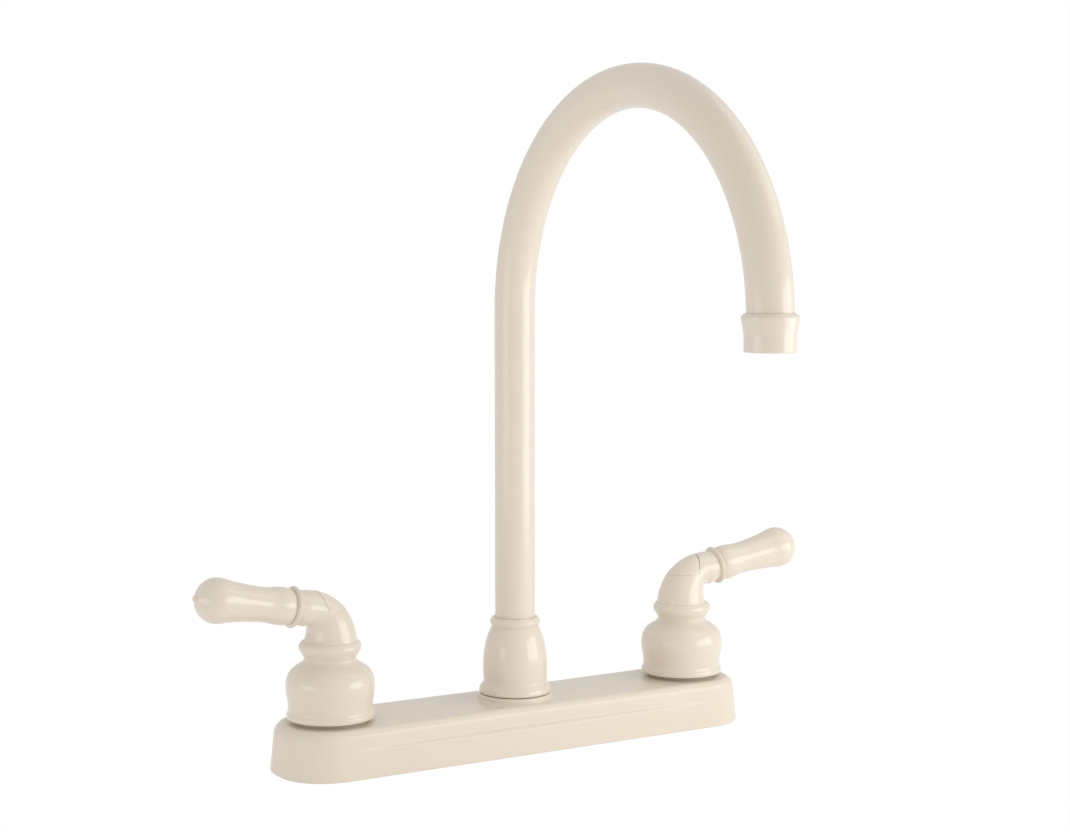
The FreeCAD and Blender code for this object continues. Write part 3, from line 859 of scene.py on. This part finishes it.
@dataclass
class Gooseneck:
    """Bent tube of the spout; mm."""

    radius: float = 9.9
    wall: float = 1.2
    bend: float = 101.6
    bottom: float = 38.05
    riser_top: float = 216.4
    end: float = 212.0
    bend_steps: int = 160
    riser_steps: int = 24
    segments: int = 96

    def path(self) -> list[Matrix]:
        """Lays out the centreline from the foot to the outlet.

        Returns:
            Places along it.
        """
        places = []
        for i in range(self.riser_steps):
            share = i / self.riser_steps
            places.append(Matrix.Translation((0.0, 0.0, self.bottom + (self.riser_top - self.bottom) * share)))
        for i in range(self.bend_steps + 1):
            angle = math.pi * i / self.bend_steps
            y = self.bend * (math.cos(angle) - 1)
            z = self.riser_top + self.bend * math.sin(angle)
            places.append(Matrix.Translation((0.0, y, z)) @ Matrix.Rotation(angle, 4, "X"))
        turned_over = Matrix.Rotation(math.pi, 4, "X")
        places.append(Matrix.Translation((0.0, -2 * self.bend, self.end)) @ turned_over)
        return places

    def build(self) -> None:
        """Makes the hollow tube."""
        path = self.path()
        there_and_back = path + path[::-1]
        radii = [self.radius] * len(path) + [self.radius - self.wall] * len(path)
        shaper = Shaper("gooseneck_tube").sweep(there_and_back, radii, closed=True, count=self.segments)
        settle(shaper.build(), "spout", "bisque_tube", "spout_tube")


@dataclass
class Aerator:
    """Tapered housing at the outlet with its woven screen; mm, degrees."""

    reach: float = 203.2
    bottom: float = 203.7
    profile: Tuple[Point, ...] = ((10.8, 6.2), (10.83, 7.1), (11.0, 8.2), (11.4, 10.4), (11.8, 12.4), (11.97, 13.4),
                                  (12.0, 14.1))
    shoulder: Tuple[Point, ...] = ((11.92, 14.5), (11.68, 14.86), (11.3, 15.2), (10.85, 15.55), (10.4, 15.9))
    edge: float = 0.35
    lip: float = 0.8
    opening: float = 8.8
    bore: float = 10.0
    collar_bore: float = 10.1
    collar_depth: float = 3.4
    wire: float = 0.2
    wire_wave: float = 0.6
    wire_sides: int = 6
    wire_steps: int = 4
    mesh_pitch: float = 1.1
    screen_thickness: float = 1.0
    screen_crisp: float = 75.0

    def outline(self) -> list[Point]:
        """Draws the housing: straight below, flared to a rim, drawn in to the tube.

        Returns:
            Closed outline.
        """
        low, body, e = self.bottom, self.profile[0][0], self.edge
        sag, lip = e * EDGE_SAG, low + self.lip
        flare, shoulder = ([(r, low + h) for r, h in run] for run in (self.profile, self.shoulder))
        top = shoulder[-1][1]
        return outline_of(
            (self.opening, low), [(body - e, low)], [(body - sag, low + sag), (body, low + e)],
            flare[:1], flare[1:], shoulder,
            [(self.collar_bore, top)], [(self.bore, top - self.collar_depth)], [(self.bore, lip)],
            [(self.opening, lip)],
        )

    def wires(self, shaper: Shaper) -> None:
        """Adds the woven wires of the screen.

        Args:
            shaper: The screen that takes them.
        """
        level = self.bottom + self.lip + self.screen_thickness / 2
        reach = self.bore - self.wire
        count = int(reach / self.mesh_pitch)
        for across in (False, True):
            for i in range(-count, count + 1):
                offset = i * self.mesh_pitch
                half = math.sqrt(reach ** 2 - offset ** 2)
                steps = max(self.wire_steps, int(self.wire_steps * half / self.mesh_pitch))
                rows = []
                for k in range(steps + 1):
                    along = -half + 2 * half * k / steps
                    phase = math.pi * along / self.mesh_pitch + (math.pi if (i % 2 == 0) != across else 0.0)
                    lift = level + self.wire * self.wire_wave * math.cos(phase)
                    ring = []
                    for corner in range(self.wire_sides):
                        angle = 2 * math.pi * corner / self.wire_sides
                        side, up = self.wire * math.cos(angle), self.wire * math.sin(angle)
                        spot = (offset + side, along) if across else (along, offset + side)
                        ring.append(Vector((spot[0], spot[1], lift + up)))
                    rows.append(ring)
                shaper.strip(rows)

    def build(self) -> None:
        """Makes the housing and the screen."""
        place = Matrix.Translation((0.0, -self.reach, 0.0))
        housing = Shaper("aerator_shell", place).lathe(self.outline(), closed=True)
        settle(housing.build(), "spout", "bisque_aerator", "aerator_housing")
        screen = Shaper("aerator_weave", place)
        self.wires(screen)
        settle(screen.build(math.radians(self.screen_crisp)), "spout", "screen_steel", "aerator_screen")


@dataclass
class LeverHandle:
    """Handle of one side: cup-shaped hub, elbow with cap, ring and lever; mm, degrees."""

    side: Side
    half_spread: float = HALF_SPREAD
    rest: float = 4.2
    foot: float = 25.0
    foot_edge: float = 0.7
    foot_sag: Point = (0.2, 0.35)
    cup: Tuple[Point, ...] = (
        (20.8, 0.9), (20.8, 1.8), (20.62, 2.5), (20.3, 3.1), (20.1, 3.9), (20.02, 5.0), (20.12, 7.5), (20.55, 10.3),
        (21.0, 13.2), (21.1, 15.2), (20.9, 18.0), (20.25, 20.2), (19.2, 22.1), (17.05, 24.1), (14.05, 26.05),
        (12.6, 27.5), (12.4, 28.4), (12.6, 29.3), (13.45, 30.7), (14.4, 32.2), (14.85, 33.6), (14.5, 35.2),
        (13.0, 36.7))
    cavity_radius: float = 17.65
    cavity_low: float = 14.8
    cavity_top: float = 19.8
    cavity_round: float = 0.93
    roof_radius: float = 11.6
    tilt: float = 10.2
    corner: float = 50.9
    elbow_bend: float = 17.0
    elbow_sink: float = 3.4
    elbow_base: float = 13.6
    elbow_end: float = 8.0
    elbow_taper: float = 0.6
    elbow_bulge: float = 1.16
    bulge_lean: float = 0.8
    corner_pinch: float = 0.6
    pinch_lean: float = 1.15
    flare: float = 0.73
    flare_level: float = 36.9
    flare_reach: float = 3.0
    elbow_steps: int = 90
    straight_steps: int = 4
    cap_radius: float = 9.0
    cap_lean: float = 30.0
    cap_offset: float = -3.0
    cap_floor: float = -1.6
    cap_reach: float = 36.0
    cap_gap: float = 0.18
    cap_shift: float = 0.13
    cap_rise: float = 0.1
    cap_edge: float = 0.15
    cap_edge_steps: int = 3
    ring_distance: float = 20.5
    ring_width: float = 2.2
    ring_radius: float = 9.8
    ring_bore: float = 3.0
    grip_end: float = 7.8
    grip: Tuple[Point, ...] = ((8.2, 22.4), (8.3, 33.12), (8.6, 44.64), (9.858, 54.624), (10.6, 60.0), (8.48, 65.85),
                               (3.71, 69.36), (1.7, 70.179))
    tip: Tuple[Point, ...] = ((1.36, 71.115), (0.0, 71.7))

    @property
    def corner_level(self) -> float:
        """Height where the lever's axis meets the hub's axis."""
        return self.foot + self.corner

    @property
    def place(self) -> Matrix:
        """Place of the hub's axis, turned to the lever's rest."""
        return self.side.axis(self.half_spread) @ Matrix.Rotation(math.radians(self.rest), 4, "Z")

    def lean(self, angle: float) -> Matrix:
        """Axis that leaves the hub's own at the corner, leaning inwards by an angle in degrees."""
        turned = Matrix.Rotation(math.radians(angle), 4, "Y")
        return Matrix.Translation((0.0, 0.0, self.corner_level)) @ turned

    @property
    def lever(self) -> Matrix:
        """The lever's axis on the hub's."""
        return self.lean(self.tilt - 90.0)

    def hub_outline(self) -> list[Point]:
        """Draws the cup, with its hollow.

        Returns:
            Closed outline.
        """
        z, e, inner = self.foot, self.foot_edge, self.cavity_radius
        roof = z + self.cavity_top
        cup = [(r, z + h) for r, h in self.cup]
        rim = cup[0][0]
        return outline_of(
            (inner, z), [(rim - e, z)], [(rim - e * self.foot_sag[0], z + e * self.foot_sag[1]), cup[0]], cup[1:],
            [(0.0, cup[-1][1])], [(0.0, roof)], [(self.roof_radius, roof)],
            [(inner * self.cavity_round, z + (self.cavity_low + self.cavity_top) / 2), (inner, z + self.cavity_low)],
            [(inner, z)],
        )

    def elbow(self, name: str, rise: float = 0.0) -> bpy.types.Object:
        """Solid bend that flares out of the bead and ends at the ring.

        Args:
            name: Name of the piece.
            rise: How far its surface stands proud of the bend's own.

        Returns:
            The new piece.
        """
        full = 90.0 - self.tilt
        lead = self.elbow_bend * math.tan(math.radians(full / 2))
        places = [Matrix.Translation((0.0, 0.0, self.corner_level - lead - self.elbow_sink))]
        pinches = [0.0]
        for i in range(self.elbow_steps + 1):
            angle = math.radians(full * i / self.elbow_steps)
            bulge = self.elbow_bulge * math.sin(math.pi * (i / self.elbow_steps) ** self.bulge_lean)
            pinch = -self.corner_pinch * math.sin(2 * math.pi * (i / self.elbow_steps) ** self.pinch_lean)
            x = self.elbow_bend * (math.cos(angle) - 1) + bulge + pinch * math.cos(angle)
            z = self.corner_level - lead + (self.elbow_bend + pinch) * math.sin(angle)
            places.append(Matrix.Translation((x, 0.0, z)) @ Matrix.Rotation(-angle, 4, "Y"))
            pinches.append(pinch)
        end = self.ring_distance - self.ring_width / 2
        for i in range(1, self.straight_steps + 1):
            along = lead + (end - lead) * i / self.straight_steps
            places.append(self.lever @ Matrix.Translation((0.0, 0.0, along)))
            pinches.append(0.0)
        lengths = [0.0]
        for a, b in zip(places, places[1:]):
            lengths.append(lengths[-1] + (b.translation - a.translation).length)
        shares = [(length / lengths[-1]) ** self.elbow_taper for length in lengths]
        radii = []
        for place, share, pinch in zip(places, shares, pinches):
            above = place.translation.z - self.foot - self.flare_level
            flare = self.flare * math.exp(-max(0.0, above) / self.flare_reach)
            radii.append(self.elbow_base + (self.elbow_end - self.elbow_base) * share + flare - pinch + rise)
        return Shaper(name, self.place).sweep(places, radii).build()

    def plug(self, name: str, radius: float, shift: float = 0.0) -> bpy.types.Object:
        """Cylinder square to the outer side of the bend, from the cap's floor out past the elbow.

        Args:
            name: Name of the cylinder.
            radius: Its radius.
            shift: How far its axis lies from the cap's own, away from the lever.

        Returns:
            The new cylinder.
        """
        place = self.place @ self.lean(self.cap_lean) @ Matrix.Translation((self.cap_offset + shift, 0.0, 0.0))
        low, high = self.cap_floor, self.cap_floor + self.cap_reach
        outline = [(0.0, low), (radius, low), (radius, high), (0.0, high)]
        return Shaper(name, place).lathe(outline).build()

    def grip_outline(self) -> list[Point]:
        """Outline of the lever along its axis, from the collar to the tip."""
        low = self.ring_distance + self.ring_width / 2
        return outline_of((0.0, low), [(self.grip_end, low)], self.grip, self.tip)

    def ring_outline(self) -> list[Point]:
        """Draws the collar between elbow and lever.

        Returns:
            Closed outline.
        """
        half = self.ring_width / 2
        low, high, flat = self.ring_distance - half, self.ring_distance + half, self.ring_radius - half
        return outline_of(
            (self.ring_bore, low), [(flat, low)],
            [(self.ring_radius, self.ring_distance), (flat, high)], [(self.ring_bore, high)],
        )

    def build(self) -> None:
        """Makes the handle's pieces."""
        name = self.side.value
        body = f"{name}_handle"
        hub = Shaper(f"{name}_hub_cup", self.place).lathe(self.hub_outline(), closed=True)
        settle(hub.build(), body, "bisque_handle", f"{name}_handle_hub")
        elbow = self.elbow(f"{name}_elbow")
        combine(elbow, self.plug("cap_seat", self.cap_radius + self.cap_gap), Cut.DIFFERENCE)
        settle(elbow, body, "bisque_handle")
        cap = self.elbow(f"{name}_screw_cap", self.cap_rise)
        combine(cap, self.plug("cap_shape", self.cap_radius, self.cap_shift), Cut.INTERSECT)
        edge = cap.modifiers.new("soft_edge", "BEVEL")
        edge.width = self.cap_edge * MM
        edge.segments = self.cap_edge_steps
        edge.limit_method = "ANGLE"
        edge.angle_limit = SHARP_ANGLE
        settle(cap, body, "bisque_handle", f"{name}_index_cap")
        lever = self.place @ self.lever
        ring = Shaper(f"{name}_lever_collar", lever).lathe(self.ring_outline(), closed=True)
        settle(ring.build(), body, "bisque_handle", f"{name}_lever_ring")
        grip = Shaper(f"{name}_lever", lever).lathe(self.grip_outline())
        settle(grip.build(), body, "bisque_handle", f"{name}_lever_grip")


@dataclass(frozen=True)
class SoftBox:
    """Rectangular studio light, aimed at the faucet; metres and watts."""

    name: str
    place: Spot
    width: float
    height: float
    power: float
    aim: Spot = (0.0, -0.06, 0.14)

    def build(self) -> None:
        """Hangs the light."""
        data = bpy.data.lights.new(self.name, "AREA")
        data.shape = "RECTANGLE"
        data.size = self.width
        data.size_y = self.height
        data.energy = self.power
        lamp = bpy.data.objects.new(self.name, data)
        lamp.location = Vector(self.place)
        toward = Vector(self.aim) - Vector(self.place)
        lamp.rotation_euler = toward.to_track_quat("-Z", "Y").to_euler()
        bpy.context.scene.collection.objects.link(lamp)


LIGHTS = (
    SoftBox("key_right", (0.46, -0.56, 0.17), 0.6, 0.33, 1.65),
    SoftBox("high_right", (0.35, -0.25, 0.65), 0.5, 0.5, 0.42),
    SoftBox("low_left", (-1.0, -0.1, 0.135), 0.65, 0.25, 0.7),
)


@dataclass
class Studio:
    """Floor, light and camera; metres and degrees, lens and sensor in mm."""

    yaw: float = 31.2721
    pitch: float = 4.6807
    lens: float = 67.5505
    sensor: float = 36.0
    position: Spot = (-0.504788, -0.850358, 0.244479)
    floor_size: float = 40.0
    floor_drop: float = 0.0002
    sky: float = 0.72

    def camera(self) -> None:
        """Sets the camera at the photograph's viewing angle."""
        data = bpy.data.cameras.new("view")
        data.lens = self.lens
        data.sensor_width = self.sensor
        data.sensor_fit = "HORIZONTAL"
        camera = bpy.data.objects.new("view", data)
        camera.location = Vector(self.position)
        camera.rotation_euler = (math.radians(90.0 - self.pitch), 0.0, math.radians(-self.yaw))
        bpy.context.scene.collection.objects.link(camera)
        bpy.context.scene.camera = camera

    def floor(self) -> None:
        """Lays the pale floor at the deck's level."""
        mesh = bpy.data.meshes.new("floor")
        half = self.floor_size / 2
        corners = ((-half, -half), (half, -half), (half, half), (-half, half))
        mesh.from_pydata([(x, y, -self.floor_drop) for x, y in corners], [], [(0, 1, 2, 3)])
        floor = bpy.data.objects.new("floor", mesh)
        bpy.context.scene.collection.objects.link(floor)
        coat(floor, FLOOR)
        tree = floor.data.materials[0].node_tree
        white = fill(tree, tree.nodes.new("ShaderNodeEmission"), {"Color": WHITE})
        self.show_white(tree, tree.nodes["Principled BSDF"], white, tree.nodes["Material Output"])

    def show_white(self, tree: bpy.types.NodeTree, light: bpy.types.Node, white: bpy.types.Node,
                   output: bpy.types.Node) -> None:
        """Lets floor or backdrop look plain white, while it lights the faucet as it would without that.

        Args:
            tree: The nodes of the material or world.
            light: The shader that lights the faucet.
            white: The shader that shows.
            output: The node that takes the result.
        """
        seen = tree.nodes.new("ShaderNodeLightPath").outputs["Is Camera Ray"]
        inputs = {"Fac": seen, 1: light.outputs[0], 2: white.outputs[0]}
        mix = fill(tree, tree.nodes.new("ShaderNodeMixShader"), inputs)
        fill(tree, output, {"Surface": mix.outputs["Shader"]})

    def world(self) -> None:
        """Sets even white light from all round, before a white backdrop."""
        world = bpy.data.worlds.new("studio")
        world.use_nodes = True
        tree = world.node_tree
        light = fill(tree, tree.nodes["Background"], {"Color": WHITE, "Strength": self.sky})
        backdrop = fill(tree, tree.nodes.new("ShaderNodeBackground"), {"Color": WHITE, "Strength": 1.0})
        self.show_white(tree, light, backdrop, tree.nodes["World Output"])
        bpy.context.scene.world = world

    def build(self) -> None:
        """Sets up the whole studio."""
        self.camera()
        self.floor()
        self.world()
        for light in LIGHTS:
            light.build()
        bpy.context.scene.view_settings.view_transform = "Standard"


def dress_cad_nodes() -> None:
    """Gives every CAD node the finish of its material slot."""
    slots = {part["node"]: part["material_slot"] for part in frame["record"]["subparts"]}
    for node, piece in frame["nodes"].items():
        coat(piece, SLOT_FINISH[slots[node]])
        soften(piece)
        LOG.info("%s wears %s", node, SLOT_FINISH[slots[node]].name)


def main() -> None:
    """Builds the faucet and its studio in order."""
    logging.basicConfig(level=logging.INFO, format="%(name)s: %(message)s")
    Studio().build()
    dress_cad_nodes()
    handles = [LeverHandle(side) for side in Side]
    for group in (DeckPlate(), InletShanks(), WingNuts(), SpoutBell(), Gooseneck(), Aerator(), *handles):
        group.build()


if __name__ == "__main__":
    main()
